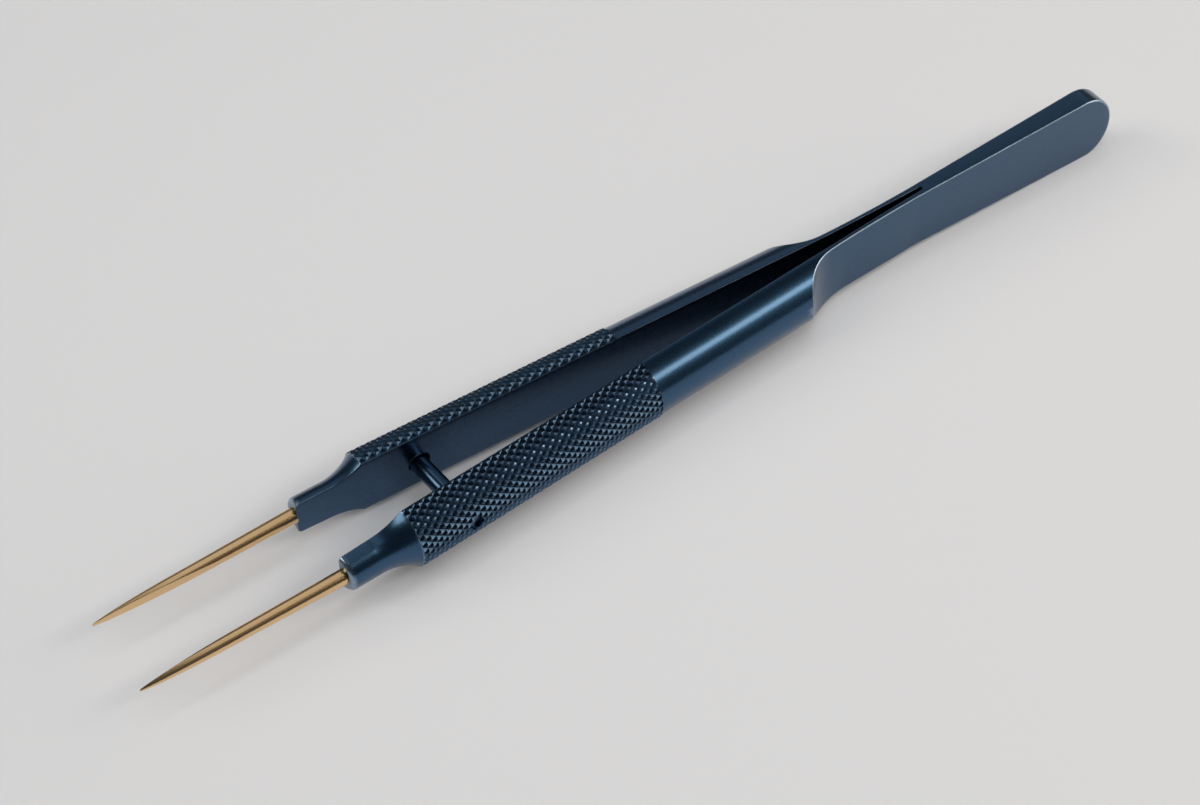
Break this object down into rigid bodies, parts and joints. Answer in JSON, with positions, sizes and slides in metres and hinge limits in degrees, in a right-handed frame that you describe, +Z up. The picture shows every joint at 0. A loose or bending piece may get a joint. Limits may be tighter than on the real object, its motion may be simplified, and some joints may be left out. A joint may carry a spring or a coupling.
{
  "type": "tying forceps",
  "caption": "Straight tying forceps lying on its side: flat rounded heel, leaf-sprung half-round arms with diamond-knurled grips, guide pin and slim rods with tying flats.",
  "frame": {"origin": "centre of the bounding box in X and Y, at its base, with the forceps lying on its side", "axes": "+X along the length towards the tips, +Y across the opening towards the near arm, +Z up"},
  "size_m": [0.115, 0.0132, 0.0082],
  "materials": {
    "anodised_titanium": "satin blue-grey anodised titanium",
    "golden_titanium": "fine-ground, gold-brown anodised titanium",
    "pin_titanium": "smooth turned titanium"
  },
  "bodies": {
    "heel": {"heel": "anodised_titanium"},
    "near_side": {"near_arm": "anodised_titanium", "near_tip": "golden_titanium", "guide_pin": "pin_titanium"},
    "far_side": {"far_arm": "anodised_titanium", "far_tip": "golden_titanium"}
  },
  "joints": [
    {"name": "near_leaf_flex", "type": "hinge", "parent": "heel", "child": "near_side", "pos_m": [-0.02644, 0.00065, 0.00412], "axis": [0, 0, -1], "range_deg": [0, 2.77], "stiffness_Nm_per_rad": 0.45},
    {"name": "far_leaf_flex", "type": "hinge", "parent": "heel", "child": "far_side", "pos_m": [-0.02644, -0.00065, 0.00412], "axis": [0, 0, 1], "range_deg": [0, 2.77], "stiffness_Nm_per_rad": 0.45}
  ],
  "couplings": [
    {"joint": "far_leaf_flex", "follows": "near_leaf_flex", "ratio": 1}
  ]
}
